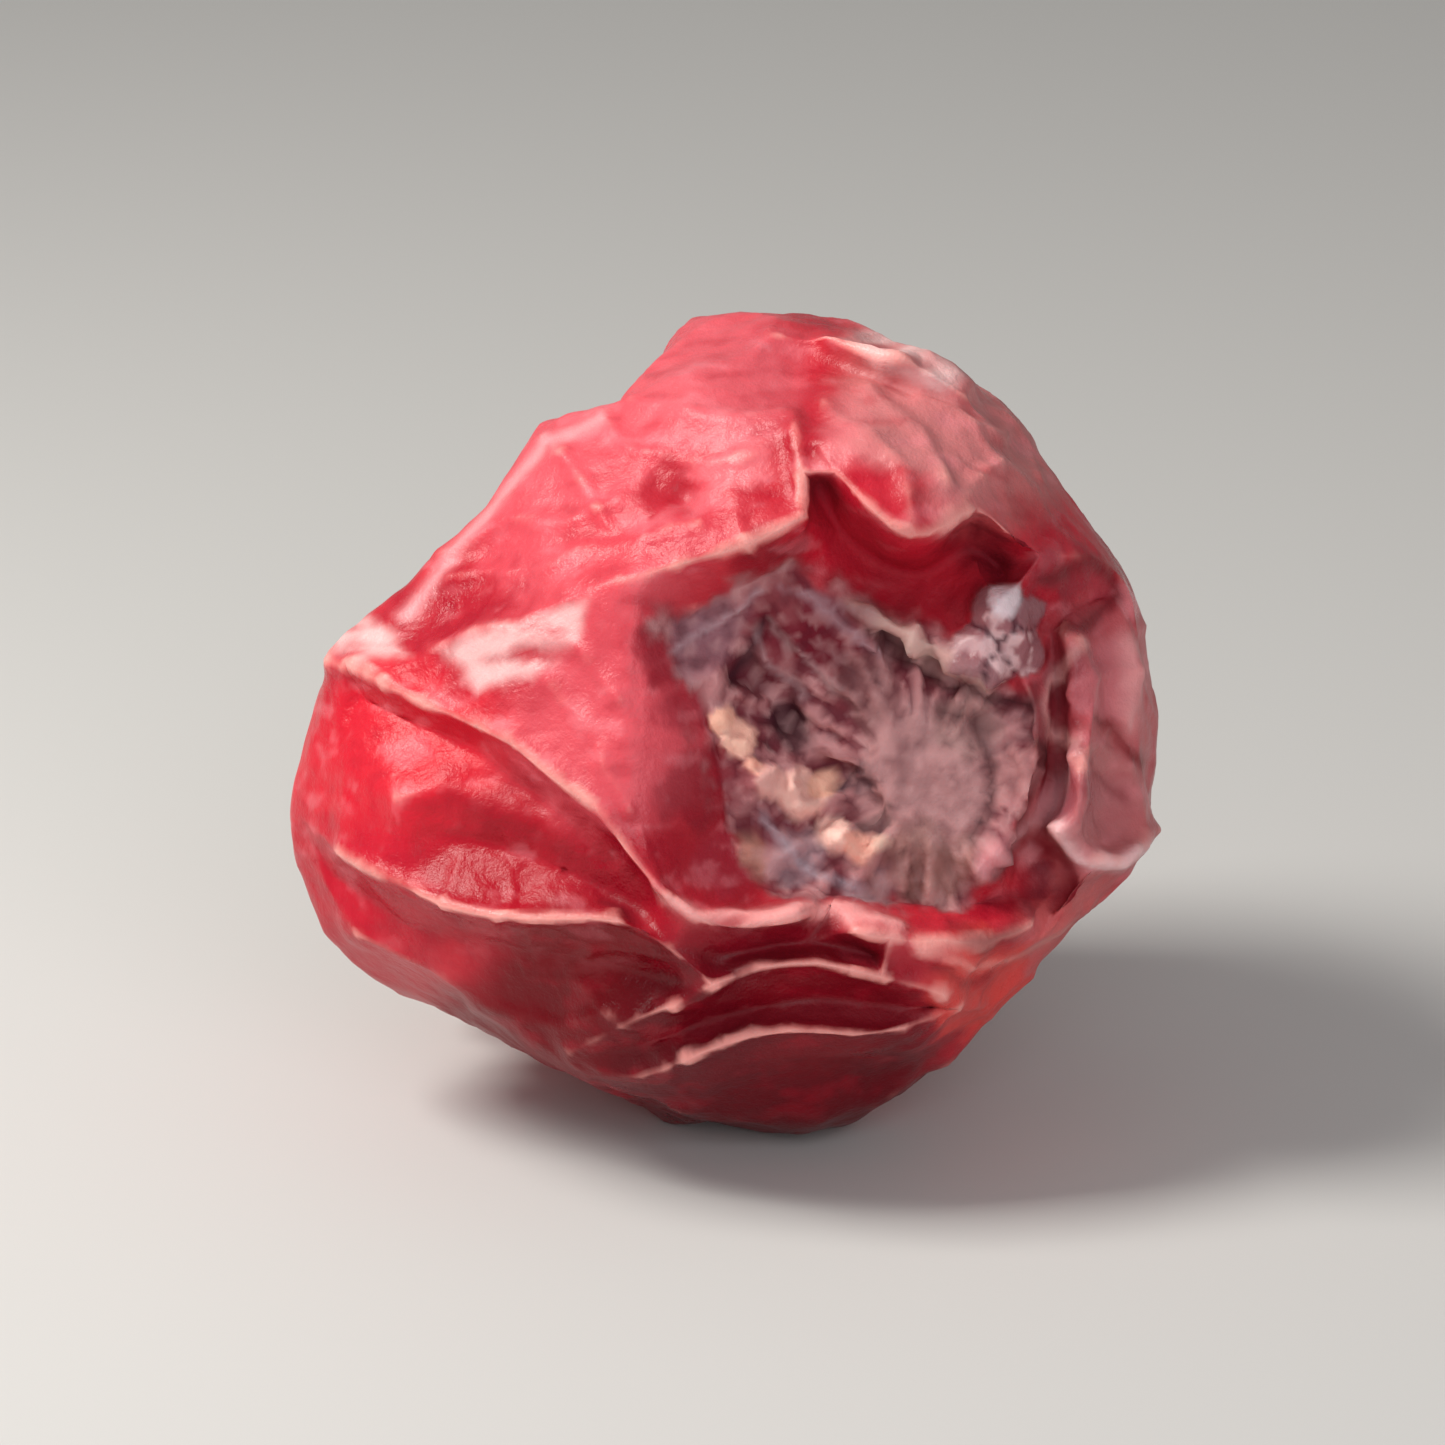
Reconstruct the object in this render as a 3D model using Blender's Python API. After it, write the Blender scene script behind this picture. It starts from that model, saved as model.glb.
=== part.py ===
"""A dried cranberry: one crumpled berry, lying on its side on a small flat spot.

The skin hangs on a net of fold lines. Those of the calyx end, where the flower sat, are placed by hand,
and those of the stem end follow a seeded rule. All are given in the face frame, in millimetres from the
berry's middle: x to the right across the calyx end, y up across it, and z out of it.

The net is hulled on a ball, where each corner sits in its own direction, and then each corner moves to
its real place. What lies between the folds is crumpled, cut finer and left to settle.
"""

import math
import random

import bmesh
import bpy
from mathutils import Matrix, Vector

MM = 0.001

# Driving sizes, in millimetres and degrees
FACE_TURNED_UP = 20.0     # how far the calyx end looks up from the level
FLAT_SPOT_CUT = 0.3       # what lying down has pressed flat, up from the lowest point
FOLD_STEP = 0.5           # between the corners along a fold line
LONGEST_EDGE = 0.46       # of the skin's triangles
BACK_DEPTH = 4.5          # from the middle to the stem end

# The bulge that orders the fold lines of the calyx end, by its half width and half height
BULGE_HALF_WIDTH = 5.7
BULGE_HALF_HEIGHT = 5.5

# The outline seen from the calyx end, as a closed line
OUTLINE = [
    (-3.95, 1.35, 1.1), (-4.3, 1.42, 1.0), (-4.75, 1.15, 0.9), (-5.05, 0.3, 0.8), (-5.35, -0.8, 0.6),
    (-5.3, -1.5, 0.4), (-5.0, -2.3, 0.2), (-4.4, -2.95, 0.1), (-3.2, -3.6, 0.3), (-1.9, -4.2, 0.6),
    (-0.7, -4.7, 0.5), (0.5, -4.95, 0.4), (1.5, -4.8, 0.3), (2.4, -4.3, 0.4), (3.0, -3.6, 0.7),
    (3.75, -2.9, 0.9), (4.5, -2.1, 1.0), (5.2, -1.5, 0.9), (5.35, -0.5, 0.7), (5.3, 0.6, 0.7),
    (5.2, 1.3, 0.8), (4.95, 2.0, 0.8), (4.25, 2.75, 0.6), (3.75, 3.7, 0.3), (2.75, 4.5, 0.6),
    (1.7, 5.0, 0.4), (0.3, 5.2, 0.6), (-0.4, 5.0, 0.8), (-1.15, 3.9, 1.7), (-2.1, 3.87, 1.5),
    (-2.4, 3.7, 1.4), (-3.0, 2.7, 1.4),
]

# Ridges and valleys of the broad panels left of and above the calyx
KEEL = [
    (-4.75, 1.0, 1.3), (-3.9, 0.55, 2.5), (-2.5, -0.1, 3.65), (-1.5, -0.9, 4.15), (-0.6, -1.95, 4.3),
]
UNDER_KEEL = [(-4.3, 0.45, 1.7), (-2.85, -0.25, 3.05), (-1.85, -1.05, 3.6), (-1.1, -1.75, 3.85)]
SIDE_CREST = [(-5.0, -0.3, 1.3), (-3.9, -0.75, 2.85)]
SIDE_VALLEY = [(-3.4, -1.2, 2.85), (-2.6, -1.35, 3.1), (-1.6, -1.7, 3.45), (-1.0, -2.05, 3.75)]
LOWER_RIDGE = [
    (-5.2, -1.0, 1.0), (-4.6, -1.4, 2.0), (-3.8, -1.85, 2.95), (-2.9, -2.15, 3.5), (-2.0, -2.2, 3.85),
    (-1.15, -2.15, 4.05), (-0.6, -2.5, 4.1), (-0.1, -2.95, 4.05),
]
UNDER_LOWER_RIDGE = [
    (-4.7, -1.7, 1.2), (-3.7, -2.3, 2.05), (-2.6, -2.6, 2.75), (-1.4, -2.7, 3.2), (-0.7, -2.95, 3.4),
]
LOWER_PANEL = [(-4.4, -2.45, 1.5), (-3.3, -2.95, 2.0), (-2.3, -3.3, 2.4)]
BROW = [
    (-3.6, 1.0, 2.4), (-2.6, 1.35, 3.35), (-1.6, 1.68, 3.85), (-0.4, 2.0, 4.05), (0.5, 2.3, 4.15),
    (1.0, 2.55, 4.15),
]
OVER_BROW = [
    (-3.3, 1.4, 2.3), (-2.4, 1.95, 2.75), (-1.9, 1.9, 3.3), (-0.9, 2.6, 3.3), (-0.2, 2.45, 3.85),
    (0.5, 2.8, 3.8),
]
UPPER_CREASE = [(-2.0, 3.4, 2.2), (-2.05, 2.5, 2.8), (-2.3, 1.9, 2.9)]
UPPER_RIDGE = [(-1.15, 3.85, 2.1), (-0.4, 3.72, 2.9), (0.85, 3.72, 3.5), (1.0, 3.1, 3.9), (1.0, 2.7, 4.0)]
UPPER_DIMPLE = [(-0.75, 2.8, 3.2), (-0.4, 2.75, 3.2)]
UPPER_PANEL = [(-1.3, 3.1, 2.9), (0.2, 3.2, 3.6), (-0.2, 4.4, 2.3)]

# The mouth: its rim, and the wall's foot where the papery calyx starts
MOUTH_RIM = [
    (-0.6, -1.95, 4.3), (-1.0, -0.9, 4.35), (-1.05, 0.2, 4.25), (-1.0, 0.9, 4.15), (-0.95, 1.5, 3.95),
]
LOWER_RIM = [
    (-0.6, -1.95, 4.3), (-0.1, -2.3, 4.25), (0.4, -2.27, 4.2), (0.9, -2.15, 4.1), (1.6, -2.35, 3.95),
    (2.4, -2.5, 3.7), (3.2, -2.5, 3.3), (4.2, -2.05, 2.7),
]
WALL_FOOT = [
    (-0.75, 1.2, 3.65), (-0.35, 0.6, 3.5), (-0.1, 0.0, 3.4), (0.02, -0.8, 3.35), (0.08, -1.5, 3.35),
    (0.4, -1.9, 3.4), (1.0, -1.85, 3.3), (1.8, -2.0, 3.15), (2.5, -2.1, 2.95),
]
UPPER_WALL_FOOT = [
    (-0.75, 1.2, 3.65), (-0.3, 1.6, 3.5), (0.4, 1.9, 3.4), (1.0, 2.05, 3.25), (1.5, 1.7, 3.15),
    (2.1, 1.5, 3.0),
]
CALYX_RING = [
    (3.55, 0.75, 3.0), (3.78, 0.3, 3.1), (3.78, -0.4, 3.15), (3.6, -1.1, 3.15), (3.2, -1.65, 3.15),
]
CALYX_LAP = [(1.9, 1.35, 3.35), (2.6, 0.98, 3.35), (3.3, 0.62, 3.2)]
UNDER_CALYX_LAP = [(2.0, 1.08, 2.95), (2.7, 0.7, 2.9), (3.35, 0.35, 2.8)]
CALYX_GROOVE = [(0.2, 1.25, 3.2), (0.4, 0.6, 3.0), (0.85, 0.15, 2.85), (1.3, -0.5, 2.8), (1.65, -0.95, 2.9)]
CALYX_PLATE = [
    (2.0, 0.3, 3.2), (2.9, 0.1, 3.15), (3.1, -0.7, 3.1), (2.8, -1.4, 3.15), (2.1, -1.2, 3.2),
    (1.8, -0.4, 3.25),
]
CALYX_FLOOR = [
    (0.1, 0.5, 3.5), (0.6, -0.6, 3.4), (0.7, -1.4, 3.35), (1.3, -1.5, 3.3), (1.2, 0.9, 3.3),
    (2.4, -0.5, 3.1), (3.4, -0.3, 2.85),
]
CALYX_BEAD = [(3.3, 1.55, 3.4), (2.95, 1.1, 3.3), (3.6, 1.15, 3.25)]

# The flap that hangs over the mouth, and the shadowed crescent under it
FLAP_EDGE = [
    (0.98, 3.75, 3.45), (1.3, 3.1, 4.1), (1.8, 2.6, 4.4), (2.25, 2.25, 4.4), (2.6, 2.45, 4.15),
    (3.0, 2.75, 3.75), (3.4, 2.35, 3.5), (3.8, 2.05, 3.2), (4.3, 2.15, 2.6),
]
CRESCENT = [
    (1.12, 3.3, 3.6), (1.17, 2.9, 3.35), (1.4, 2.35, 3.05), (1.9, 1.95, 2.85), (2.5, 1.8, 2.75),
    (2.95, 2.3, 2.8), (3.3, 2.0, 2.6),
]
FLAP = [(1.7, 3.4, 4.0), (2.4, 3.2, 3.95), (1.6, 4.1, 3.1), (3.3, 3.3, 3.0)]
TOP_CRUMPLE = [(0.7, 4.85, 2.0), (1.5, 4.75, 2.2), (2.1, 4.5, 2.7), (2.8, 4.15, 2.5), (3.2, 3.75, 2.3)]
TOP_DIP = [(0.9, 4.5, 2.2), (1.5, 4.4, 2.3), (2.3, 4.05, 2.5)]

# The crumpled collar right of the calyx
COLLAR_RIDGE = [
    (4.3, 2.15, 2.5), (4.85, 1.9, 1.8), (5.1, 1.2, 1.9), (5.15, 0.4, 1.9), (5.1, -0.4, 1.9),
    (5.1, -1.1, 1.9),
]
COLLAR_FOLD = [
    (4.3, 1.1, 2.8), (4.5, 0.4, 2.95), (4.3, -0.4, 3.0), (4.2, -1.1, 3.1), (4.5, -1.6, 2.8),
    (5.0, -1.5, 2.3),
]
COLLAR_VALLEY = [(4.7, 0.9, 2.3), (4.8, 0.1, 2.3), (4.75, -0.7, 2.3), (4.6, -1.15, 2.55)]
COLLAR_GAP = [(3.95, 1.2, 2.5), (4.05, 0.3, 2.35), (4.05, -0.6, 2.35), (3.75, -1.35, 2.5)]
COLLAR_TOP = [(4.2, 1.5, 2.3), (4.6, 1.65, 1.9)]
COLLAR_FOOT = [(3.0, -2.05, 2.9), (3.7, -1.8, 2.6), (4.4, -1.95, 2.2), (5.0, -1.8, 1.6)]

# The pleats under the mouth
UPPER_PLEAT_VALLEY = [
    (0.0, -2.65, 3.8), (0.4, -2.55, 3.65), (1.0, -2.42, 3.6), (1.8, -2.62, 3.45), (2.35, -2.75, 3.4),
]
UPPER_PLEAT = [
    (-1.85, -3.85, 2.6), (-0.95, -3.35, 3.45), (-0.1, -3.05, 3.9), (0.5, -2.75, 4.0), (1.15, -2.65, 4.0),
    (1.9, -2.87, 3.8), (2.6, -3.05, 3.4),
]
LOWER_PLEAT_VALLEY = [
    (-1.3, -3.85, 2.65), (-0.5, -3.55, 3.1), (0.3, -3.25, 3.4), (1.2, -3.12, 3.4), (2.1, -3.27, 3.1),
    (2.5, -3.22, 3.0),
]
LOWER_PLEAT = [
    (-1.85, -4.0, 2.3), (-0.95, -4.15, 2.8), (-0.5, -3.9, 3.15), (0.0, -3.65, 3.5), (0.8, -3.47, 3.75),
    (1.6, -3.6, 3.6), (2.3, -3.5, 3.2), (2.75, -3.2, 2.9), (3.3, -2.9, 2.4),
]
BELOW_PLEATS = [(-0.3, -4.3, 2.0), (0.8, -4.05, 2.4), (1.7, -4.0, 2.1)]

# The folds that run down the lower right flank
FLANK_VALLEY = [(1.9, -4.2, 1.5), (2.7, -3.75, 1.35), (3.5, -3.0, 1.45), (4.2, -2.5, 1.4)]
FLANK_RIDGE = [(3.0, -2.7, 2.8), (3.8, -2.45, 2.45), (4.5, -2.1, 1.75)]
FLANK_PLEAT = [(1.2, -4.65, 1.4), (2.0, -4.45, 1.2), (2.7, -4.0, 0.95)]

FRONT_FOLDS = [
    KEEL, UNDER_KEEL, SIDE_CREST, SIDE_VALLEY, LOWER_RIDGE, UNDER_LOWER_RIDGE, LOWER_PANEL, BROW, OVER_BROW,
    UPPER_CREASE, UPPER_RIDGE, UPPER_DIMPLE, MOUTH_RIM, LOWER_RIM, WALL_FOOT, UPPER_WALL_FOOT, CALYX_RING,
    CALYX_LAP, UNDER_CALYX_LAP, CALYX_GROOVE, CALYX_PLATE, FLAP_EDGE, CRESCENT, TOP_CRUMPLE, TOP_DIP,
    COLLAR_RIDGE, COLLAR_FOLD, COLLAR_VALLEY, COLLAR_GAP, COLLAR_TOP, COLLAR_FOOT, UPPER_PLEAT_VALLEY,
    UPPER_PLEAT, LOWER_PLEAT_VALLEY, LOWER_PLEAT, BELOW_PLEATS, FLANK_VALLEY, FLANK_RIDGE, FLANK_PLEAT,
    CALYX_BEAD,
]
MOUTH_WALL = [(-0.6, -0.9, 4.05), (-0.62, -0.1, 4.05), (-0.68, 0.6, 4.0)]
SIDE_PANEL = [(-3.2, -0.65, 3.2), (-2.4, -0.95, 3.4)]
FRONT_POINTS = UPPER_PANEL + CALYX_FLOOR + FLAP + MOUTH_WALL + SIDE_PANEL

# The stem end: folds that run from the stem scar towards the outline and branch on the way
STEM_SEED = 31
STEM_WAY = Vector((-0.5, 0.12, -0.86)).normalized()
STEM_SLICES = 8           # each has the folds below
RIDGE_RISE = (0.0, 0.06)  # of the reach
VALLEY_RISE = (-0.16, -0.08)
# A fold's place as a share of the slice's turn, its start and end in degrees from the stem, and its rise
SLICE_FOLDS = [
    (0.0, 20, 180, RIDGE_RISE), (0.5, 27, 47, VALLEY_RISE), (0.5, 60, 180, RIDGE_RISE),
    (0.25, 44, 180, VALLEY_RISE), (0.75, 48, 180, VALLEY_RISE),
]
SLICE_JITTER = 0.2        # of a slice's turn
FOLD_WANDER = 4.0         # degrees, from corner to corner along a fold
RISE_WANDER = 0.012       # of the reach, the same way
CORNER_ANGLE = 11.0       # degrees between its corners
EDGE_OF_SIGHT = -0.12     # a fold ends where it comes nearer than this, on the unit ball
FULL_RISE_DEPTH = 0.5     # behind this, the other way, it has its full rise
LEAST_RISE = 0.35         # and this share of it at the outline
SCAR_PIT_FALL = 0.16
SCAR_RIM_ANGLE = 8.0
SCAR_RIM_FALL = 0.04
SCAR_GROOVE_ANGLE = 13.0
SCAR_GROOVE_FALL = 0.09
SCAR_CORNERS = 11

# The crumple between the folds: the size of its facets, and how far their corners stand in or out
FACET_SEED = 7
FACET_SIZE = 1.0
FACET_ROUNDS = 3
FACET_RELIEF = 0.24       # of a facet's edge
CALM_SHARE = 0.85         # of that relief, missing on the broad panels of the calyx end
SPLIT_ROUNDS = 3
RELAX_ROUNDS = 2
PANEL_EASE = 0.5          # of the way to the mean of its neighbours, for a corner on a panel
FOLD_EASE = 0.4           # the same, for a corner on a fold

SKIN_COLOUR = (0.56, 0.06, 0.09, 1)
SKIN_ROUGHNESS = 0.4


def clear_scene():
    for thing in list(bpy.data.objects):
        bpy.data.objects.remove(thing)


def along(line, closed=False):
    """A fold line's corners, with others set between them so that the net keeps to the line."""
    points = [Vector(p) for p in line]
    if closed:
        points.append(points[0])
    found = []
    for start, end in zip(points, points[1:]):
        parts = max(1, round((end - start).length / FOLD_STEP))
        found += [start.lerp(end, i / parts) for i in range(parts)]
    if not closed:
        found.append(points[-1])
    return found


def bulge_way(point):
    """Where a corner of the calyx end sits on the unit ball that orders the net."""
    x = point.x / BULGE_HALF_WIDTH
    y = point.y / BULGE_HALF_HEIGHT
    return Vector((x, y, math.sqrt(max(0.0, 1 - x * x - y * y)))).normalized()


def flat_way(point):
    return Vector((point.x, point.y, 0)).normalized()


def outline_at(way, outline):
    """The outline's reach and its depth in the direction of a corner behind it."""
    turn = math.atan2(way.y, way.x)
    for start, end in zip(outline, outline[1:] + outline[:1]):
        first = math.atan2(start.y, start.x)
        span = (first - math.atan2(end.y, end.x)) % math.tau
        ahead = (first - turn) % math.tau
        if span > math.pi:
            span = math.tau - span
            ahead = math.tau - ahead
        if ahead <= span:
            spot = start.lerp(end, ahead / max(span, 1e-9))
            return math.hypot(spot.x, spot.y), spot.z
    return math.hypot(outline[0].x, outline[0].y), outline[0].z


def hidden_place(way, outline, rise):
    """A corner of the stem end: the outline's reach sideways, and the berry's depth backwards."""
    reach, start_depth = outline_at(way, outline)
    side = math.hypot(way.x, way.y)
    return Vector((way.x * reach, way.y * reach, start_depth * side + BACK_DEPTH * way.z)) * (1 + rise)


def stem_way(angle, turn):
    """A direction given by its angle from the stem scar and its turn round it, in degrees."""
    across = STEM_WAY.orthogonal().normalized()
    up = STEM_WAY.cross(across)
    a, t = math.radians(angle), math.radians(turn)
    return STEM_WAY * math.cos(a) + (across * math.cos(t) + up * math.sin(t)) * math.sin(a)


def stem_fold(turn, start, end, rise, outline, draw):
    """One fold line, from near the stem scar towards the outline."""
    line = []
    level = draw.uniform(*rise)
    for i in range(math.ceil((end - start) / CORNER_ANGLE)):
        way = stem_way(start + i * CORNER_ANGLE, turn + draw.uniform(-FOLD_WANDER, FOLD_WANDER))
        if way.z > EDGE_OF_SIGHT:
            break
        fade = LEAST_RISE + (1 - LEAST_RISE) * ramp(-way.z, 0, FULL_RISE_DEPTH)
        spot = hidden_place(way, outline, (level + draw.uniform(-RISE_WANDER, RISE_WANDER)) * fade)
        line.append((way, spot))
    return line


def stem_end(outline, draw):
    """The folds behind the outline, and the stem scar's ring and groove."""
    lines = []
    for i in range(STEM_SLICES):
        start_turn = i + draw.uniform(-SLICE_JITTER, SLICE_JITTER)
        for share, start, end, rise in SLICE_FOLDS:
            turn = 360 / STEM_SLICES * (start_turn + share)
            lines.append(stem_fold(turn, start, end, rise, outline, draw))
    for angle, fall in ((SCAR_RIM_ANGLE, SCAR_RIM_FALL), (SCAR_GROOVE_ANGLE, SCAR_GROOVE_FALL)):
        ring = [stem_way(angle, 360 / SCAR_CORNERS * i) for i in range(SCAR_CORNERS + 1)]
        lines.append([(way, hidden_place(way, outline, -fall)) for way in ring])
    return lines


def fold_net():
    """A closed net of triangles: hulled as a ball, then each corner moved to its place. Folds are seams."""
    draw = random.Random(STEM_SEED)
    outline = along(OUTLINE, closed=True)
    lines = [[(flat_way(p), p) for p in outline]]
    for line in FRONT_FOLDS:
        lines.append([(bulge_way(p), p) for p in along(line)])
    lines += stem_end(outline, draw)
    singles = [(bulge_way(Vector(p)), Vector(p)) for p in FRONT_POINTS]
    singles.append((STEM_WAY, hidden_place(STEM_WAY, outline, -SCAR_PIT_FALL)))
    net = bmesh.new()
    known = {}
    place = {}

    def corner(way, spot):
        key = tuple(round(c, 2) for c in way)
        if key not in known:
            known[key] = net.verts.new(way)
            place[known[key]] = spot
        return known[key]

    for way, spot in singles:
        corner(way, spot)
    chains = [[corner(way, spot) for way, spot in line] for line in lines]
    bmesh.ops.convex_hull(net, input=net.verts[:])
    soft = {0, 1 + FRONT_FOLDS.index(MOUTH_RIM)}
    for chain in [chain for i, chain in enumerate(chains) if i not in soft]:
        for first, last in zip(chain, chain[1:]):
            edge = net.edges.get((first, last)) if first != last else None
            if edge:
                edge.seam = True
    for point in net.verts:
        point.co = place[point]
    bmesh.ops.recalc_face_normals(net, faces=net.faces[:])
    return net


def crumple(skin):
    """Breaks the panels into small facets, their corners a little in or out."""
    draw = random.Random(FACET_SEED)
    for _ in range(FACET_ROUNDS):
        long_edges = [e for e in skin.edges if e.calc_length() > FACET_SIZE]
        known = len(skin.verts)
        bmesh.ops.subdivide_edges(skin, edges=long_edges, cuts=1)
        bmesh.ops.triangulate(skin, faces=skin.faces[:], quad_method="SHORT_EDGE")
        for v in skin.verts[known:]:
            reach = min(e.calc_length() for e in v.link_edges)
            rise = draw.uniform(-1, 1) * FACET_RELIEF * reach * (1 - CALM_SHARE * calm(v.co))
            v.co += v.co.normalized() * rise


def split_long_edges(skin):
    for _ in range(SPLIT_ROUNDS):
        long_edges = [e for e in skin.edges if e.calc_length() > LONGEST_EDGE]
        bmesh.ops.subdivide_edges(skin, edges=long_edges, cuts=1)
        bmesh.ops.triangulate(skin, faces=skin.faces[:])


def relax(skin):
    """Lets the panels between the folds settle into soft curves, while the folds stay sharp."""
    for _ in range(RELAX_ROUNDS):
        loose = [v for v in skin.verts if not any(e.seam for e in v.link_edges)]
        bmesh.ops.smooth_vert(
            skin, verts=loose, factor=PANEL_EASE, use_axis_x=True, use_axis_y=True, use_axis_z=True,
        )
        moves = {}
        for v in skin.verts:
            beside = [e.other_vert(v).co for e in v.link_edges if e.seam]
            if len(beside) == 2:
                moves[v] = v.co.lerp((beside[0] + beside[1]) / 2, FOLD_EASE)
        for v, spot in moves.items():
            v.co = spot


def ramp(value, low, high):
    return min(1.0, max(0.0, (value - low) / (high - low)))


def calm(place):
    """1 on the broad panels that face out beside the calyx, less on the right, and 0 at the stem end."""
    return ramp(place.z, -0.8, 2.0) * (1 - 0.4 * ramp(place.x, 2.0, 3.6))


def press_flat_spot(skin):
    """Presses the underside level where the berry lies."""
    level = min(v.co.z for v in skin.verts) + FLAT_SPOT_CUT
    bmesh.ops.bisect_plane(
        skin, geom=skin.verts[:] + skin.edges[:] + skin.faces[:], dist=1e-3,
        plane_co=(0, 0, level), plane_no=(0, 0, 1),
    )
    for v in skin.verts:
        v.co.z = max(v.co.z, level)
    bmesh.ops.triangulate(skin, faces=skin.faces[:])


def stand_on_origin(skin):
    low = Vector([min(v.co[i] for v in skin.verts) for i in range(3)])
    high = Vector([max(v.co[i] for v in skin.verts) for i in range(3)])
    foot = Vector(((low.x + high.x) / 2, (low.y + high.y) / 2, low.z))
    bmesh.ops.translate(skin, vec=-foot, verts=skin.verts[:])


def dried_skin():
    """Cranberry skin, dried: thin, leathery and deep red."""
    material = bpy.data.materials.new("dried_skin")
    material.use_nodes = True
    shader = material.node_tree.nodes["Principled BSDF"]
    shader.inputs["Base Color"].default_value = SKIN_COLOUR
    shader.inputs["Roughness"].default_value = SKIN_ROUGHNESS
    shader.inputs["Metallic"].default_value = 0
    return material


def cranberry():
    skin = fold_net()
    crumple(skin)
    split_long_edges(skin)
    relax(skin)
    lie = Matrix.Rotation(math.radians(90 - FACE_TURNED_UP), 4, "X")
    bmesh.ops.transform(skin, matrix=lie, verts=skin.verts[:])
    press_flat_spot(skin)
    stand_on_origin(skin)
    bmesh.ops.scale(skin, vec=(MM, MM, MM), verts=skin.verts[:])
    mesh = bpy.data.meshes.new("cranberry")
    skin.to_mesh(mesh)
    skin.free()
    mesh.materials.append(dried_skin())
    return bpy.data.objects.new("cranberry", mesh)


def main():
    clear_scene()
    group = bpy.data.collections.new("dried_cranberry")
    bpy.context.scene.collection.children.link(group)
    group.objects.link(cranberry())


main()
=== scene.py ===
"""A dried cranberry lying on a pale table: thin crumpled red skin, drawn in round a papery calyx."""

import math
import random

import bmesh
import bpy
import numpy as np
from mathutils import Matrix, Vector, noise
from mathutils.bvhtree import BVHTree


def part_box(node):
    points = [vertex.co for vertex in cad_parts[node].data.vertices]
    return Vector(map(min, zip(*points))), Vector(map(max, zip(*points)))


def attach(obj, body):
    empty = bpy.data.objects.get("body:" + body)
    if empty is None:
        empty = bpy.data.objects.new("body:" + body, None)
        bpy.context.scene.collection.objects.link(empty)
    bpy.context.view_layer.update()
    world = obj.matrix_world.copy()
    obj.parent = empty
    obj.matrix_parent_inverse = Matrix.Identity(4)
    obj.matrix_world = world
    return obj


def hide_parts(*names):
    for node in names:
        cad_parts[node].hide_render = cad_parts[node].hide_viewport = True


MM = 0.001
TINY = 1e-6               # keeps a division off zero
NOISE_SEED = 4            # of the noise vectors, which would else differ from run to run

# The face frame, in millimetres from the berry's middle: x to the right across the calyx end, y up along
# it, and z out of it. The lists of places below are in it.
FACE_TURNED_UP = 20.0     # degrees
MIDDLE = Vector((-0.027, 0.226, 4.533))
LIE = Matrix.Rotation(math.radians(90 - FACE_TURNED_UP), 3, "X")
FACING = (0.0, 1.0)       # z, over which drawn lines fade in
SPOTS_FACING = (-0.6, 0.6)           # the same for round spots and bumps

# The finer skin
SKIN_CUTS = 3             # new points on each edge of the solid
MERGE_REACH = 0.002
SMOOTH_ROUNDS = 5
SMOOTH_SHARE = 0.5        # of the way to the mean of the points beside it
SHARP_FROM, SHARP_TO = 14.0, 45.0    # degrees: flatter edges are rounded off, sharper ones stay
LOOSEST, TIGHTEST = 1.0, 0.1         # how freely points on flat and on sharp edges move

# Crumples with flat sides: their size, their relief from lowest to highest, and the seed of their heights
CRUMPLES = [(1.7, 0.26, 11), (0.75, 0.11, 12), (0.36, 0.045, 13)]
CRUMPLE_WARP = (1.7, 0.3)            # how long the bends in their edges are, and how far they reach
HEIGHTS_GRID = 32         # corners along each side of the block of random heights
CALM_SHARE = 0.15         # of the crumples, missing on the taut panels beside the calyx
CALM_DEPTH = (-0.6, 2.2)  # z, over which those panels begin
CALM_END = (1.6, 3.4)     # x, over which they end

# Veins, which run between the cells of a net
VEIN_SIZE = 1.2           # of a cell
VEIN_WIDTH = 0.2          # of a cell's size
VEIN_RISE = 0.04
VEIN_WARP = (1.9, 0.5)    # how long the bends in the net are, and how far they reach in cells
VEIN_CLOUDS = (2.3, Vector((7, 3, 1)))    # the clouds that hold veins: their size and start in the noise
VEIN_FADE = (-0.15, 0.3)
STEADY_VEINS = 0.3        # of their rise, the same on calm and on rough skin

# Natural patterns: the strength of each wave of noise, and how many go to a millimetre
RAGGED_WAVES = [(1, 2.2), (0.5, 6)]
GRIT_WAVES = [(1, 2.4), (0.5, 5), (0.3, 9)]
SPECK_WAVES = [(1, 5.5), (0.5, 11)]
TORN_WAVES = Vector((1.5, 5, 1.5))   # along each axis
RAGGED_REACH = 0.13
MOTTLED = 1.5             # times as ragged, for the edges of spots of colour
FRAYED = 0.5              # times as ragged, for those of coloured lines, crumbs, bead and painted highlight patches
LINE_WANDER = (0.9, 0.09) # how long the bends in drawn lines are, and how far they reach

# Lines that are both raised or sunk and coloured
LIP = [(-0.75, -1.85), (-0.3, -2.15), (0.3, -2.2), (0.9, -2.1), (1.5, -2.15), (2.1, -2.35)]
LAP = [(1.55, 1.5), (2.2, 1.15), (2.7, 0.88), (3.1, 0.62)]
PLATE_GROOVE = [(2.6, 0.3), (3.05, 0.15), (3.25, -0.4), (3.2, -0.9), (2.95, -1.3)]
TIP_FOLD = [(-0.6, 0.95), (0.0, 1.35), (0.45, 1.7)]
TIP_GROOVE = [(0.15, 0.55), (0.35, 0.95), (0.5, 1.3)]
LOWER_RIB = [(0.6, 1.35), (1.0, 0.9), (1.4, 0.55)]
UPPER_RIB = [(0.95, 1.65), (1.5, 1.2), (1.9, 0.95)]
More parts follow.
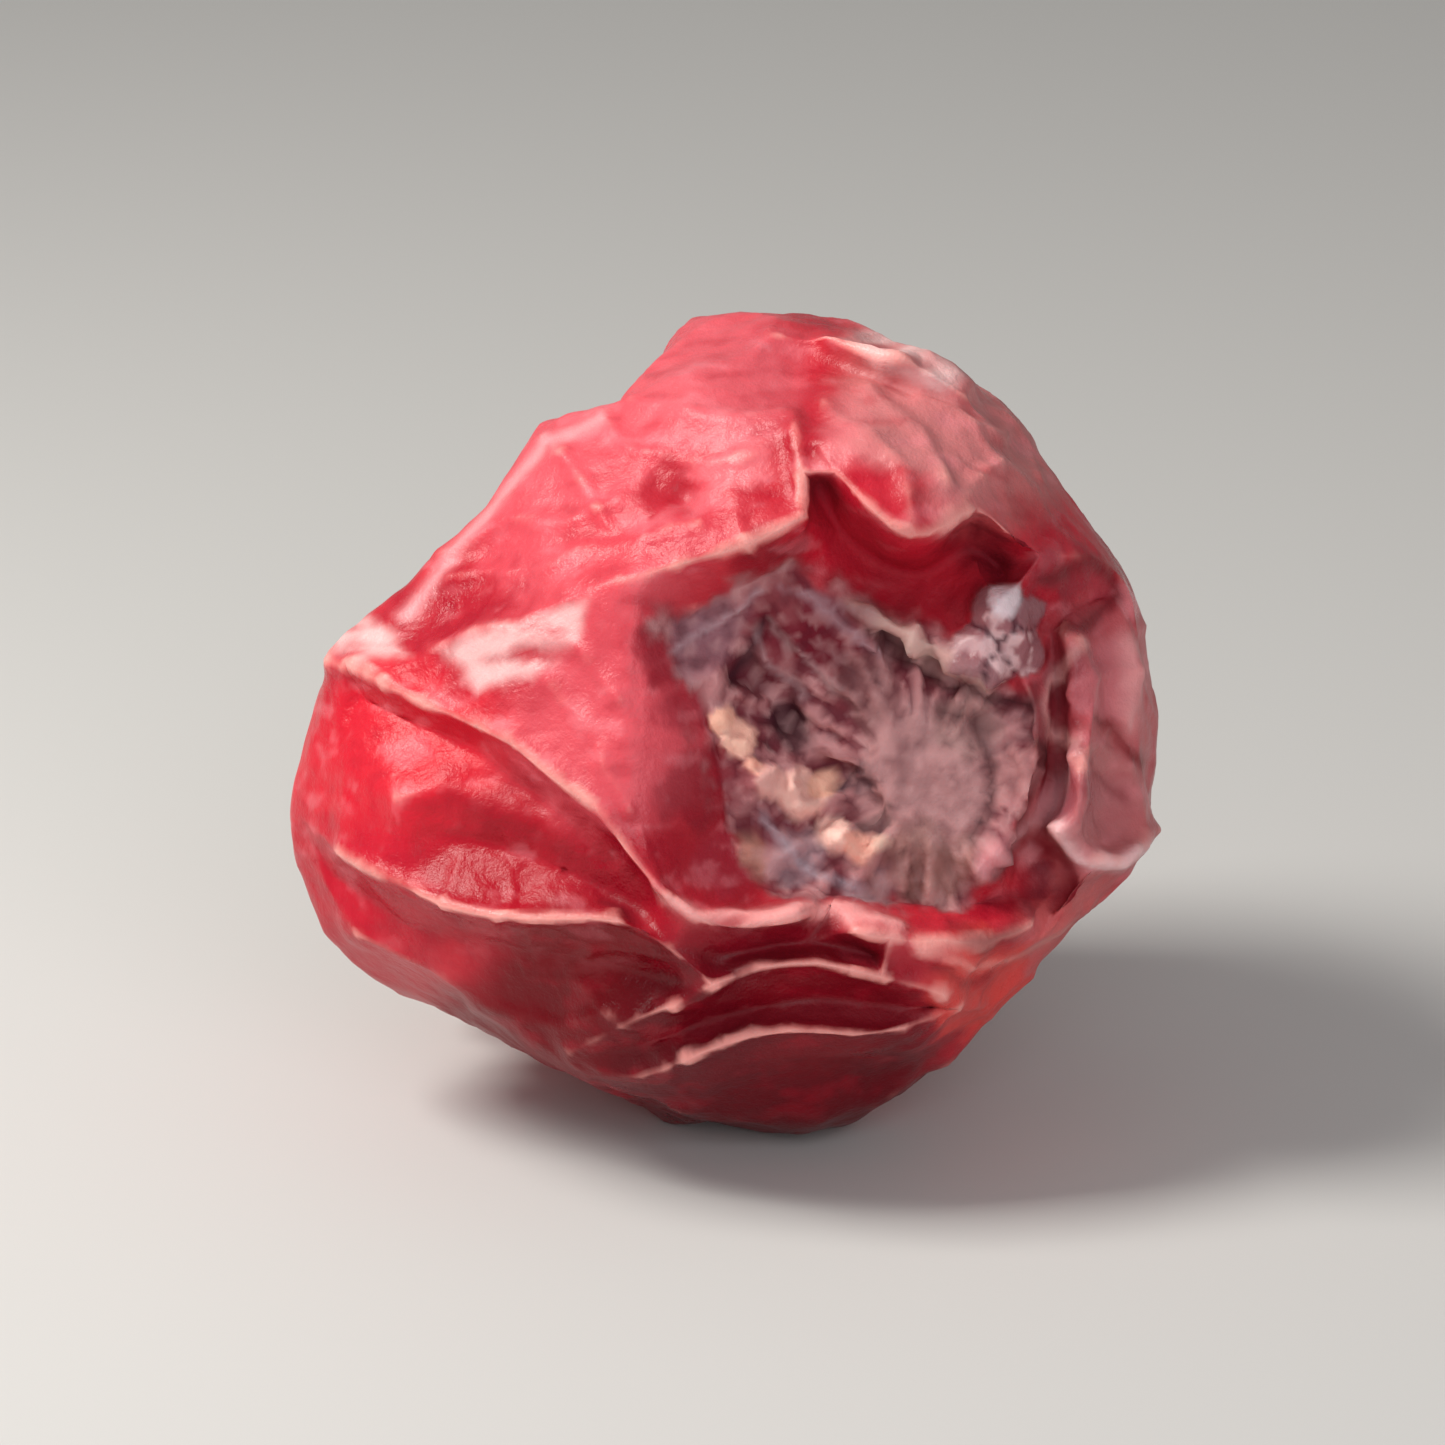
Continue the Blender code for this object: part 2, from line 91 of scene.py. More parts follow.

# Creases drawn in: the rise, the half width and the line
CREASES = [
    (0.10, 0.12, [(4.1, 1.2), (4.3, 0.55), (4.15, -0.1), (4.3, -0.8), (4.15, -1.2)]),
    (0.09, 0.11, [(4.75, 1.5), (4.95, 0.8), (4.8, 0.1), (5.0, -0.6), (5.15, -1.1)]),
    (0.16, 0.14, [(4.0, -1.15), (4.3, -1.55), (4.75, -1.55), (5.15, -1.2)]),
    (-0.08, 0.12, [(4.5, 1.2), (4.6, 0.4), (4.5, -0.3), (4.65, -1.0)]),
    (0.07, 0.1, [(4.2, 0.5), (4.55, 0.75), (4.95, 0.7)]),
    (0.06, 0.1, [(4.2, -0.3), (4.55, -0.15), (4.85, -0.4)]),
    (0.07, 0.1, [(-4.9, 0.9), (-4.2, 0.75), (-3.4, 0.35), (-2.5, -0.05), (-1.5, -0.8), (-0.8, -1.7)]),
    (0.05, 0.1, [(-3.5, 1.05), (-2.6, 1.25), (-1.7, 1.0), (-1.2, 0.4)]),
    (0.05, 0.09, [(-2.2, 0.75), (-1.6, 0.1), (-1.1, -0.9)]),
    (-0.06, 0.14, [(-2.9, -0.5), (-2.0, -0.85), (-1.3, -1.45), (-0.85, -1.95)]),
    (0.05, 0.1, [(-3.3, 1.9), (-2.2, 1.95), (-1.3, 2.2), (-0.3, 2.4)]),
    (0.05, 0.09, [(-1.4, 3.75), (-1.0, 3.3), (-0.2, 3.2), (0.5, 3.3)]),
    (0.06, 0.1, [(-4.6, -1.4), (-3.4, -2.0), (-2.2, -2.2), (-1.2, -2.15)]),
    (0.06, 0.1, [(-3.4, 2.2), (-2.6, 2.6), (-1.9, 2.5), (-1.2, 2.75)]),
    (0.06, 0.1, [(-2.1, 3.6), (-1.7, 3.1), (-1.3, 2.5)]),
    (-0.08, 0.16, [(-0.75, 2.85), (-0.35, 2.7)]),
    (0.06, 0.1, [(-1.0, 3.9), (-0.2, 3.75), (0.7, 3.8)]),
    (0.09, 0.1, [(0.85, 3.75), (0.95, 3.2), (1.0, 2.7)]),
    (0.07, 0.11, [(1.2, 3.9), (1.7, 3.55), (2.1, 3.0), (2.2, 2.5)]),
    (0.06, 0.1, [(1.8, 4.1), (2.4, 3.6), (2.6, 3.0)]),
    (0.10, 0.12, [(1.3, 4.75), (1.9, 4.45), (2.4, 4.5), (2.9, 4.1)]),
    (0.08, 0.1, [(2.4, 4.0), (2.9, 3.7), (3.4, 3.6)]),
    (0.07, 0.1, [(2.9, 2.9), (3.3, 3.2), (3.7, 2.9)]),
    (0.07, 0.1, [(-0.5, -3.2), (0.4, -2.75), (1.1, -2.65), (1.9, -2.9)]),
    (0.06, 0.09, [(-0.4, -3.85), (0.4, -3.5), (1.2, -3.5), (2.2, -3.5)]),
    (0.07, 0.1, [(2.3, -2.6), (3.1, -2.7), (3.9, -2.4), (4.5, -2.0)]),
    (0.06, 0.1, [(2.6, -3.1), (3.2, -3.3), (3.7, -2.9)]),
    (0.05, 0.1, [(-3.0, -3.3), (-1.9, -3.5), (-1.2, -3.3)]),
    (0.10, 0.1, LIP),
]

# The papery calyx, with its edge as an outline
CALYX_EDGE = [
    (-0.85, 1.25), (0.1, 1.75), (0.8, 2.0), (1.3, 1.8), (2.1, 1.4), (3.3, 0.7), (3.75, 0.3), (3.8, -0.5),
    (3.55, -1.25), (2.9, -2.0), (2.1, -2.1), (1.0, -1.95), (0.25, -1.6), (0.0, -0.8), (-0.1, 0.0),
    (-0.4, 0.7),
]
CALYX_RAGGED = 1.6        # times as ragged, for its edge
CALYX_FADE = (-0.14, 0.16)           # from outside its edge to inside
CALYX_DEPTH = (1.9, 2.3)  # z, over which it begins
CALYX_TAUT = 0.85         # of the skin's crumples, missing on it
CALYX_GRIT = 0.09
PLATE = (2.4, -0.5, 1.1)  # the smooth plate that the fibres run out from: its x, y and reach
FIBRE_RISE = 0.16
FIBRE_ROUND = 9           # the reach in the noise of the ring that sets the fibres apart
FIBRE_WAVES = 1.3         # along a fibre, to a millimetre
CALYX_FIBRES = [
    (0.12, 0.1, LAP),
    (-0.07, 0.07, [(1.7, 1.2), (2.3, 0.85), (3.0, 0.42), (3.5, 0.3)]),
    (0.06, 0.1, [(3.45, 0.1), (3.62, -0.5), (3.45, -1.2), (3.0, -1.8)]),
    (-0.07, 0.09, PLATE_GROOVE),
    (0.07, 0.07, TIP_FOLD),
    (-0.09, 0.09, TIP_GROOVE),
    (-0.12, 0.16, [(0.75, 0.4), (0.9, 0.0), (1.3, -0.4), (1.7, -0.75), (1.85, -1.05)]),
    (0.06, 0.06, LOWER_RIB),
    (0.05, 0.06, UPPER_RIB),
    (0.05, 0.06, [(0.5, -1.05), (0.9, -1.3), (1.3, -1.65), (1.8, -1.8)]),
]

# The bead in the calyx's corner: the x, y and reach of its lobes
BEAD = [(3.3, 1.42, 0.42), (3.05, 0.98, 0.36), (3.58, 1.0, 0.36), (3.62, 1.38, 0.26), (3.3, 0.8, 0.24)]
BEAD_RISE = 0.24
BEAD_GRIT = 0.35          # of the crumbs'
BEAD_WANDER = 0.4         # of theirs too
BEAD_FADE = (0.0, 0.3)    # of its edge, and of its streaks
BEAD_BODY = (0.9, "#98686E")         # share and colour
BEAD_STREAKS = (0.8, "#DEB6B8")
# painted shade in the seams between the lobes
BEAD_SEAM_SHADE = (0.85, "#4A1A28")
SEAM_SHADE_FADE = (-0.25, -0.05)           # the lower lobe's height less the higher one's, over a seam
BEAD_HIGHLIGHT_SPOT = (3.36, 1.6, 0.26)            # x, y and reach of a painted highlight on the bead
BEAD_HIGHLIGHT_FADE = (0.0, 0.6)
BEAD_HIGHLIGHT_WHITE = (0.9, "#F8E2E8")

# The collar's gap, drawn shut: the rise, the half width and the line
COLLAR_FILL = [(0.55, 0.3, [(4.1, 1.15), (4.18, 0.4), (4.2, -0.4), (4.12, -1.1)])]
COLLAR_START = (3.5, 3.9) # x, over which the collar's own colours begin

# Pale crumbs stuck in the calyx: x, y, reach and colour
CRUMBS = [
    (0.0, 0.14, 0.17, "#FABBA4"), (0.2, -0.1, 0.24, "#FFC4B0"), (0.38, -0.4, 0.13, "#E8A896"),
    (0.6, -0.6, 0.22, "#DBA49C"), (0.95, -0.72, 0.32, "#ECB6AA"), (1.22, -0.62, 0.18, "#EDB49E"),
    (1.35, -1.2, 0.24, "#FFCCBE"), (1.63, -1.35, 0.2, "#F4AE9C"), (1.88, -1.26, 0.12, "#DDB2A2"),
    (0.3, -1.4, 0.12, "#C88A7C"),
]
CRUMB_RISE = 0.16
CRUMB_STAIN = 1.1         # of its reach, coloured
CRUMB_FADE = (0.0, 0.5)

# How the red changes over the skin, with painted shade in some spots: the crease band near (-2.6, -1.6),
# the deep reds low on the berry (partly painted shade, partly the skin's own darker red), under the ledge
# at (1.7, 2.3) and (0.6, 2.0), on the calyx pocket's wall near x = 0, and the band below the ridge line
# near y = 2.3. The columns: x, y, reach, share and colour
BLUSH_AND_SHADE = [
    (-3.9, -0.3, 1.4, 0.85, "#D41C30"), (-1.3, 0.1, 1.5, 0.7, "#DE5A66"),
    (-1.5, 2.9, 1.9, 0.7, "#E65F6B"), (-0.6, 2.8, 0.45, 0.8, "#B01026"), (0.0, 4.3, 1.2, 0.6, "#DE6A74"),
    (2.3, 3.4, 1.3, 0.8, "#EC7C84"), (3.0, 4.0, 1.9, 0.7, "#CB7F7D"), (-4.4, -2.1, 1.3, 0.8, "#C41A30"),
    # painted shade: the crease band, then the deep reds low on the berry, partly painted shade and partly
    # the skin's own darker red
    (-2.6, -1.6, 0.9, 0.8, "#AC0C22"), (-1.6, -3.1, 1.4, 0.97, "#7C0010"),
    (-2.6, -4.2, 1.6, 0.9, "#760212"), (0.6, -4.2, 2.6, 0.97, "#660212"),
    (1.2, -3.2, 1.1, 0.9, "#7C0818"), (4.9, 0.4, 1.6, 0.75, "#BE5C62"), (4.4, -1.0, 1.2, 0.6, "#BC7C7C"),
    # the last spot here is painted shade under the ledge above the calyx
    (4.2, -2.4, 0.8, 0.6, "#C66A68"), (3.1, -3.0, 0.8, 0.8, "#E24A44"), (1.7, 2.3, 1.0, 0.9, "#C20E2A"),
    # these two rows are painted shade on the calyx pocket's wall and, last, under the ledge
    (-0.15, -0.6, 0.6, 0.6, "#7E1626"), (-0.6, 1.0, 0.5, 0.7, "#8A1024"),
    (0.1, -1.5, 0.5, 0.5, "#A42C3E"), (-0.4, 0.25, 0.4, 0.5, "#8C1A2C"), (0.6, 2.0, 0.5, 0.6, "#6E0A18"),
    # the first three spots here are a painted shade band below the ridge line
    (-1.4, 2.2, 0.6, 0.6, "#D23A48"), (-0.4, 2.35, 0.5, 0.6, "#C83444"), (-2.6, 2.3, 0.5, 0.5, "#D24250"),
    (0.2, 3.2, 0.5, 0.6, "#F08088"),
]
SPOT_FADE = (0.0, 0.7)

# Streaks of torn noise over the blush: the fade, the share and the colour of each kind
STREAK_SPECK = 0.4        # how much of the specks is mixed into them
DARK_STREAK_FADE = (0.1, 0.6)
DARK_STREAKS = (0.35, "#A80E26")
PALE_STREAK_FADE = (0.15, 0.6)
PALE_STREAKS = (0.28, "#F08C96")
PALE_STREAK_START = (-3.2, -1.6)     # y, over which the pale ones begin

# Painted highlights: pale patches where the light would catch the skin, as outlines
PAINTED_HIGHLIGHTS = [
    [(-3.4, 1.0), (-2.7, 1.35), (-1.55, 1.6), (-1.65, 1.1), (-2.3, 0.6), (-2.9, 0.5)],
    [(-5.0, 1.0), (-4.6, 1.5), (-4.1, 1.4), (-3.7, 0.9), (-4.2, 0.8), (-4.6, 0.95)],
    [(1.4, 4.8), (2.2, 4.95), (3.1, 4.3), (2.6, 4.0), (1.9, 4.4)],
]
PAINTED_HIGHLIGHT_SHARE = 0.75
PAINTED_HIGHLIGHT_FADE = (-0.08, 0.16)           # from outside an outline to inside
PAINTED_HIGHLIGHT_FACING = (-0.4, 0.6)
PAINTED_HIGHLIGHT_TORN = (-0.7, 0.1)

# Stains in the calyx and on its collar, in the same columns as the skin's red spots, with some painted
# light: shade in a small gap, beside the membrane and in the collar's fold, and a highlight on the calyx's
# right rim
STAINS_AND_PAINTED_LIGHT = [
    (*PLATE, 0.85, "#B48484"), (-0.25, 1.05, 0.5, 0.8, "#A06E78"), (0.1, 1.4, 0.35, 0.7, "#94626C"),
    (0.85, 1.35, 0.7, 0.8, "#7A1428"), (1.4, 1.1, 0.6, 0.6, "#761428"), (0.3, 0.65, 0.4, 0.8, "#5C1022"),
    (0.1, -0.6, 0.35, 0.7, "#8C3440"), (0.85, 0.1, 0.4, 0.85, "#38121F"),
    (1.6, -0.6, 0.22, 0.7, "#46303A"), (1.85, -1.05, 0.18, 0.7, "#3A2226"),
    (0.3, -1.5, 0.4, 0.7, "#B8806E"), (0.95, -1.45, 0.35, 0.6, "#A08890"),
    (1.65, -1.9, 0.3, 0.5, "#98828A"), (2.4, -1.6, 0.7, 0.6, "#9C7268"),
    # the second spot here is a painted highlight on the calyx's right rim
    (3.55, -0.5, 0.4, 0.8, "#B98080"), (3.35, -1.55, 0.35, 0.9, "#E4949A"),
    (2.9, 0.1, 0.5, 0.6, "#A8827E"), (1.7, 0.5, 0.5, 0.5, "#86605F"), (3.25, -2.05, 0.3, 0.8, "#640A1A"),
    # the second spot here is painted shade in a small gap
    (3.7, -1.85, 0.25, 0.8, "#6E1222"), (3.87, -0.2, 0.22, 0.9, "#4A0A10"),
    # the first spot here is painted shade beside the collar's membrane
    (4.2, 0.6, 0.4, 0.8, "#7A2630"), (4.25, -0.8, 0.4, 0.8, "#A65660"), (4.7, 0.6, 0.6, 0.8, "#CC6C74"),
    # the last two spots here are painted shade in the collar's fold
    (4.6, -0.9, 0.5, 0.7, "#B86A6E"), (4.5, 1.75, 0.35, 0.8, "#A82838"), (4.0, 1.9, 0.4, 0.6, "#8E2232"),
    (4.9, 1.6, 0.3, 0.8, "#E8858C"),
]
SPECK_FADE = (0.1, 0.5)
PALE_SPECKS = (0.32, "#D2A0A0")      # share and colour
DARK_SPECKS = (0.38, "#521C28")

# Coloured lines of the calyx, the collar and the folds beside them, many of them painted shade in creases,
# folds and under the lap and lip, and painted highlights along rims and ridges: half width, share, colour
# and line
LINES_AND_PAINTED_LIGHT = [
    # crimson under the ledge above the calyx: painted shade, lighter than the fold shade beneath
    (0.32, 0.6, "#C8162E", [(1.25, 2.6), (1.7, 2.15), (2.6, 1.95)]),
    # painted highlight along the upper left rim
    (0.09, 0.6, "#F6B0B4", [(-3.8, 1.4), (-3.3, 2.1), (-2.7, 2.9), (-2.15, 3.5), (-1.4, 3.75)]),
    # painted highlight along the lip
    (0.08, 0.85, "#F4A6A4", LIP),
    (0.08, 0.7, "#5A3436", PLATE_GROOVE),
    (0.09, 0.6, "#6A3438", [(3.7, 0.5), (3.9, 0.1), (3.85, -0.5), (3.6, -1.2), (3.3, -1.7)]),
    (0.1, 0.8, "#DAB6AC", LAP),
    # painted shadow beneath the lap
    (0.06, 0.8, "#431A20", [(1.75, 1.2), (2.3, 0.87), (2.8, 0.55), (3.2, 0.38), (3.7, 0.35)]),
    (0.05, 0.7, "#B08A8C", LOWER_RIB),
    (0.05, 0.7, "#B8929A", UPPER_RIB),
    (0.05, 0.6, "#A87E86", [(0.7, 1.75), (1.3, 1.5), (1.8, 1.35)]),
    (0.05, 0.7, "#B8969E", TIP_FOLD),
    (0.07, 0.8, "#36101C", TIP_GROOVE),
    (0.05, 0.6, "#B08C90", [(0.45, 1.2), (0.6, 0.8), (1.0, 0.45)]),
    (0.05, 0.6, "#B4A2AC", [(0.5, -1.0), (0.8, -1.35), (1.2, -1.7), (1.7, -1.85)]),
    (0.1, 0.9, "#F6C6C8", [(4.05, -1.1), (4.3, -1.45), (4.7, -1.6), (5.1, -1.4)]),
    # painted shade in the collar's creases and folds, down to the U-shaped fold
    (0.12, 0.8, "#6E0A1A", [(4.15, 0.95), (4.1, 0.5), (4.2, 0.1)]),
    (0.09, 0.85, "#7E0E18", [(4.55, 0.2), (4.8, -0.05), (5.1, -0.4)]),
    (0.06, 0.7, "#8E3A40", [(4.3, -0.15), (4.55, -0.5), (4.9, -0.8)]),
    (0.06, 0.7, "#963E46", [(4.05, -0.25), (4.2, -0.65), (4.35, -0.85)]),
    (0.1, 0.8, "#6E0A18", [(3.9, 1.8), (4.3, 2.05), (4.65, 1.95), (4.75, 1.65), (4.4, 1.3), (4.15, 1.25)]),
    # painted highlight on the collar's membrane
    (0.16, 0.7, "#F0A6A6", [(4.85, 1.05), (4.95, 0.6), (4.95, 0.15)]),
    (0.06, 0.8, "#CC8C8A", [(4.3, 1.05), (3.95, 0.6), (3.85, 0.35), (4.0, 0.0), (4.3, -0.25)]),
    # painted shade in the crease between the left panels
    (0.14, 0.6, "#960A1E", [(-3.2, -0.75), (-2.2, -1.25), (-1.4, -1.6), (-0.7, -2.2)]),
    # painted shade in the pleats' valleys, then a painted highlight on a pleat's crest
    (0.1, 0.6, "#5E0814", [(2.7, -2.35), (3.1, -2.5), (3.5, -2.3)]),
    (0.08, 0.5, "#6A0A18", [(2.5, -2.75), (2.9, -3.0), (3.2, -2.9)]),
    (0.07, 0.5, "#F0A098", [(2.3, -2.5), (2.9, -2.7), (3.5, -2.75), (4.2, -2.3)]),
    # painted shade beneath the lip
    (0.09, 0.6, "#8C0C20", [(-0.9, -2.4), (0.2, -2.45), (1.0, -2.4)]),
    (0.06, 0.6, "#C08488", [(4.2, -0.2), (4.05, -0.6), (3.85, -1.0), (3.5, -1.4)]),
]

# The stem scar, by its direction from the berry's middle
STEM_WAY = Vector((-0.5, 0.12, -0.86)).normalized()
SCAR_ANGLE = 10.0         # degrees from that direction to its edge
SCAR_FULL = 0.7           # of that angle, inside which it is at its full
SCAR_GRIT = 0.06

# How closed in a spot is, by feelers sent out from it
FEELERS = 14
FEELER_LENGTH = 2.6
FEELER_START = 0.03       # off the surface
FEELER_LEAN = 1.15        # how much they lean straight out
FEELER_SEED = 5

# The layers that follow the relief: painted light on what stands out broadly, painted shade in folds and
# hollows, and pale crests that are partly painted highlights
SOFTEN_ROUNDS = 1         # of smoothing, to take lone specks out of a layer
FINE_ROUNDS = 3           # the same, to find what stands out a little
BROAD_ROUNDS = 60         # the same, for what stands out broadly
# painted light: a lighter red on broad bulges that lie open
BULGE_LIGHT_FADE = (-0.02, 0.16)
BULGE_LIGHT_SHARE = 0.6
# painted shade: broad hollows, added to the closed-in folds
HOLLOW_SHADE_FADE = (0.0, 0.3)
HOLLOW_SHADE_SHARE = 0.3
# painted shade in the closed-in folds
FOLD_SHADE_FADE = (0.15, 0.9)
# pale crests: partly the thin skin's own paleness at a ridge, partly a painted highlight
CREST_FADE = (0.007, 0.03)
CREST_LOST = 0.6          # of the crests' paleness, deep in a fold
DEEP_CLOUDS = (3.0, Vector((2, 5, 8)))    # clouds of deeper red: their size, and their start in the noise
DEEP_FADE = (0.1, 0.5)
DEEP_SHARE = 0.5
PAPER_FADE = (-0.35, 0.3)
PAPER_RAGGED = 2          # how much of the ragged pattern is mixed into the pale fibres
PAPER_SPECK = 0.5         # the same for the specks

# The dried skin's finish, with sizes in millimetres
SKIN_REDS = ("#A80F26", "#D2303E")
MOTTLE_SIZE = 1.5
MOTTLE_DETAIL, MOTTLE_HARSHNESS = 6, 0.62        # how many finer waves, and how strong each is
MOTTLE_FADE = (0.35, 0.65)
GLOSS_FADE = (0.3, 0.7)
WAXY_ROUGHNESS, DRY_ROUGHNESS = 0.22, 0.45
LAYER_ROUGHNESS = [("fold", 0.75), ("paper", 0.8), ("bead", 0.16)]
SHINE = 0.24              # the specular level of thin old wax
GLOW = 0.16               # how much light goes into the skin and out again
GLOW_DEPTH = 0.5
GLOW_REACH = (1.0, 0.22, 0.18)       # of that depth, in red, green and blue
GRAIN_SIZE = 0.25         # coarser than the skin's real pores, so that it shows
GRAIN_DETAIL, GRAIN_HARSHNESS = 5, 0.65
GRAIN_DEPTH = 0.05
GRAIN_STRENGTH = 0.7
# The layers over the mottled red, in order, each with its colour unless the mesh holds that too. They
# include painted light on broad bulges, painted shade in folds, pale crests that are partly painted
# highlights, painted highlight patches, and colour layers that hold painted shade and highlights as well
SKIN_LAYERS = [
    ("high", "#E2505B"), ("deep", "#8A1020"), ("blush_and_shade", None), ("fold", "#7A0A1C"), ("pale_crest_and_highlight", "#F2A099"),
    ("painted_highlight", "#F7CDCB"), ("paper", "#7A323C"), ("paper_pale", "#BC8082"), ("stain_and_painted_light", None),
]

# The sockets of a Mix node by their place in it, as several bear the same name
MIX_SHARE = 0
VALUE_BELOW, VALUE_ABOVE, MIXED_VALUE = 2, 3, 0
COLOUR_BELOW, COLOUR_ABOVE, MIXED_COLOUR = 6, 7, 2

# The room, in millimetres: each lamp has its place, its width, its watts and its colour
TABLE_REACH = 400.0
TABLE_GREY = "#CDCDCB"
TABLE_ROUGHNESS = 0.75
ROOM_WHITE = "#F7F4F2"
ROOM_LIGHT = 0.3
WINDOW = ((-42, -6, 56), 26, 0.048, "#FFFBF5")
FILL = ((20, -80, 40), 60, 0.03, "#FBFAFF")
AIM = Vector((0.0, 0.0, 4.75))       # what the lamps and the camera look at
CAMERA_ELEVATION = 20.0   # degrees
CAMERA_LENS = 200.0
BERRY_SHARE = 0.6         # of the picture's width
NEAREST, FURTHEST = 0.05, 50         # of the camera's distance, that it sees


def linear(hexcode):
    """An sRGB hex colour as the linear values that a shader takes."""
    shades = [int(hexcode[i:i + 2], 16) / 255 for i in (1, 3, 5)]
    return (*[s / 12.92 if s <= 0.04045 else ((s + 0.055) / 1.055) ** 2.4 for s in shades], 1)


def add_node(tree, kind, settings=None, links=None):
    """Adds a node. Settings are its properties or its sockets' values; links are what feeds its sockets."""
    made = tree.nodes.new(kind)
    for name, value in (settings or {}).items():
        if isinstance(name, str) and hasattr(made, name):
            setattr(made, name, value)
        else:
            made.inputs[name].default_value = value
    for name, source in (links or {}).items():
        tree.links.new(source, made.inputs[name])
    return made


def step(values, low, high):
    """0 below low, 1 above high, and a smooth way between."""
    t = np.clip((values - low) / (high - low), 0, 1)
    return t * t * (3 - 2 * t)


def at_points(points, rule):
    """A rule's value at each point."""
    return np.array([rule(Vector(p)) for p in points])


def waves(points, pattern):
    """A natural pattern's value at each point."""
    return at_points(points, lambda p: sum(share * noise.noise(p * pace) for share, pace in pattern))


def clouds(points, size, start):
    """Broad noise in clouds of a size in millimetres, each kind read from a start of its own."""
    return at_points(points, lambda p: noise.noise(p / size + start))


def wandering(points, length, reach):
    """An unsteady shift for each point, in bends of a length in millimetres."""
    return at_points(points, lambda p: noise.noise_vector(p / length)) * reach


class Surface:
    """The skin's points and what is next to what, for sums over all of them at once."""

    def __init__(self, skin):
        skin.verts.index_update()
        self.points = np.array([v.co for v in skin.verts])
        self.faces = np.array([[v.index for v in f.verts] for f in skin.faces])
        self.pairs = np.array([[v.index for v in e.verts] for e in skin.edges])
        self.beside_count = np.bincount(self.pairs.ravel(), minlength=len(self.points))

    def gather(self, ends, values):
        """The sum of the values that arrive at each point."""
        totals = [np.bincount(ends, weights=v, minlength=len(self.points)) for v in values.T]
        return np.stack(totals, axis=1)

    def beside(self, values):
        """The mean over each point's neighbours."""
        first, last = self.pairs.T
        columns = values.reshape(len(values), -1)
        total = self.gather(first, columns[last]) + self.gather(last, columns[first])
        return (total / self.beside_count[:, None]).reshape(values.shape)

    def smoothed(self, values, rounds):
        """The values, each drawn towards its neighbours' mean."""
        for _ in range(rounds):
            values = values + (self.beside(values) - values) * SMOOTH_SHARE
        return values

    def normals(self):
        """The way out of the surface at each point."""
        a, b, c = (self.points[self.faces[:, i]] for i in range(3))
        across = np.cross(b - a, c - a)
        total = sum(self.gather(self.faces[:, i], across) for i in range(3))
        return total / np.linalg.norm(total, axis=1)[:, None]

    def stand_out(self, rounds):
        """How far each point stands out of the surface when that is smoothed, in millimetres."""
        return ((self.points - self.smoothed(self.points, rounds)) * self.normals()).sum(axis=1)

    def closed_in(self):
        """0 where the surface is open all round, towards 1 deep in a fold."""
        draw = random.Random(FEELER_SEED)
        feelers = []
        for _ in range(FEELERS):
            feelers.append(Vector([draw.gauss(0, 1) for _ in range(3)]).normalized())
        tree = BVHTree.FromPolygons(self.points.tolist(), self.faces.tolist())
        found = []
        for spot, out in zip(self.points, self.normals()):
            out = Vector(out)
            start = Vector(spot) + out * FEELER_START
            hits = 0
            for feeler in feelers:
                way = (feeler + out * FEELER_LEAN).normalized()
                hits += tree.ray_cast(start, way, FEELER_LENGTH)[0] is not None
            found.append(hits / FEELERS)
        return np.array(found)


def finer_skin(solid):
    """The solid's mesh, merged and cut finer, in the face frame in millimetres."""
    skin = bmesh.new()
    skin.from_mesh(solid.data)
    bmesh.ops.scale(skin, vec=(1 / MM, 1 / MM, 1 / MM), verts=skin.verts[:])
    bmesh.ops.remove_doubles(skin, verts=skin.verts[:], dist=MERGE_REACH)
    bmesh.ops.translate(skin, vec=-MIDDLE, verts=skin.verts[:])
    bmesh.ops.rotate(skin, matrix=LIE.transposed(), verts=skin.verts[:])
    bmesh.ops.subdivide_edges(skin, edges=skin.edges[:], cuts=SKIN_CUTS, use_grid_fill=True)
    bmesh.ops.triangulate(skin, faces=skin.faces[:])
    return skin


def sharpness(skin):
    """The sharpest turn of the surface at each point, in degrees."""
    found = np.zeros(len(skin.verts))
    for edge in skin.edges:
        turn = math.degrees(abs(edge.calc_face_angle_signed(0)))
        for v in edge.verts:
            found[v.index] = max(found[v.index], turn)
    return found


def facets(points, size, seed):
    """Crumples with flat sides, -0.5 to 0.5: random heights at a grid's corners, joined by flat faces."""
    draw = np.random.default_rng(seed)
    turn = np.linalg.qr(draw.normal(size=(3, 3)))[0]
    heights = draw.random((HEIGHTS_GRID, HEIGHTS_GRID, HEIGHTS_GRID)) - 0.5
    spots = points @ turn / size + HEIGHTS_GRID / 2
    corner = np.floor(spots).astype(int)
    part = spots - corner
    order = np.argsort(-part, axis=1)
    rows = np.arange(len(points))
    share = np.take_along_axis(part, order, axis=1)
    share = np.column_stack([np.ones(len(points)), share, np.zeros(len(points))])
    total = np.zeros(len(points))
    for k in range(4):
        total += heights[tuple(corner.T % HEIGHTS_GRID)] * (share[:, k] - share[:, k + 1])
        if k < 3:
            corner[rows, order[:, k]] += 1
    return total


def vein(place):
    """1 along the raised lines of the skin and 0 away from them."""
    length, reach = VEIN_WARP
    spot = place / VEIN_SIZE + noise.noise_vector(place / length) * reach
    near = noise.voronoi(spot)[0]
    return max(0.0, 1 - (near[1] - near[0]) / VEIN_WIDTH)


